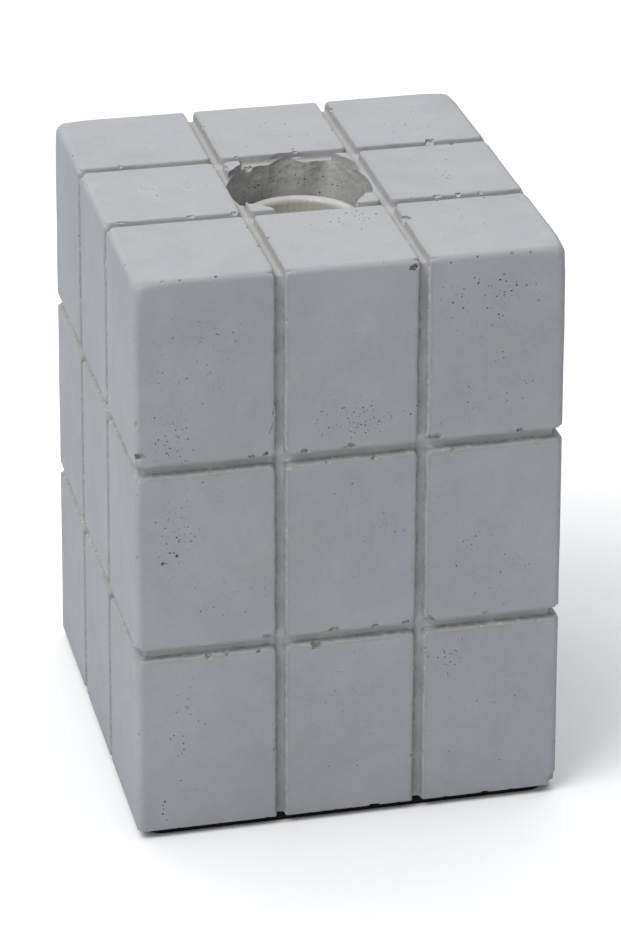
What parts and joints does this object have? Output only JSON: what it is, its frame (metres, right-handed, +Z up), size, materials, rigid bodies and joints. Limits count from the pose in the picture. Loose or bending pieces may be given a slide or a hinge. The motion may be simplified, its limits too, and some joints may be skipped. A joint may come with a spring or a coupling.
{
  "type": "concrete block table lamp base",
  "caption": "Cast-concrete lamp base, a tall block divided by square grooves, with a porcelain lampholder sunk in its top and a foam pad below.",
  "frame": {"origin": "middle of the underside of the base pad, where the lamp stands", "axes": "+Z up along the lampholder, -Y to the front, +Y to the side where the cord would enter"},
  "size_m": [0.154, 0.16, 0.2135],
  "materials": {
    "concrete": "cast, matt, with air pores",
    "foam_pad": "closed-cell foam",
    "porcelain": "cream glaze",
    "plated_brass": "nickel-plated",
    "brass": "turned and stamped",
    "zinc_steel": "zinc-plated",
    "spring_steel": "oiled",
    "black_rubber": "matt",
    "black_plastic": "moulded"
  },
  "bodies": {
    "lamp_base": {"concrete_body": "concrete", "base_pad": "foam_pad", "holder_body": "porcelain", "thread_shell": "plated_brass", "shell_rivet": "brass", "neutral_rivet": "brass", "contact_cup": "brass", "plunger_spring": "spring_steel", "live_terminal": "brass", "neutral_terminal": "brass", "live_screw": "zinc_steel", "neutral_screw": "zinc_steel", "holder_bracket": "zinc_steel", "bracket_screws": "zinc_steel", "tube_lock_screw": "zinc_steel", "threaded_tube": "zinc_steel", "seat_washer": "black_rubber", "clamp_washer": "zinc_steel", "lock_washer": "spring_steel", "clamp_nut": "zinc_steel", "tube_bush": "black_plastic", "cord_bushing": "black_plastic"},
    "centre_contact": {"centre_plunger": "brass"}
  },
  "joints": [
    {"name": "contact_press", "type": "slide", "parent": "lamp_base", "child": "centre_contact", "axis": [0, 0, -1], "range_m": [0, 0.002], "stiffness_N_per_m": 1000, "springref_m": -0.002, "deforming": ["plunger_spring"]}
  ]
}
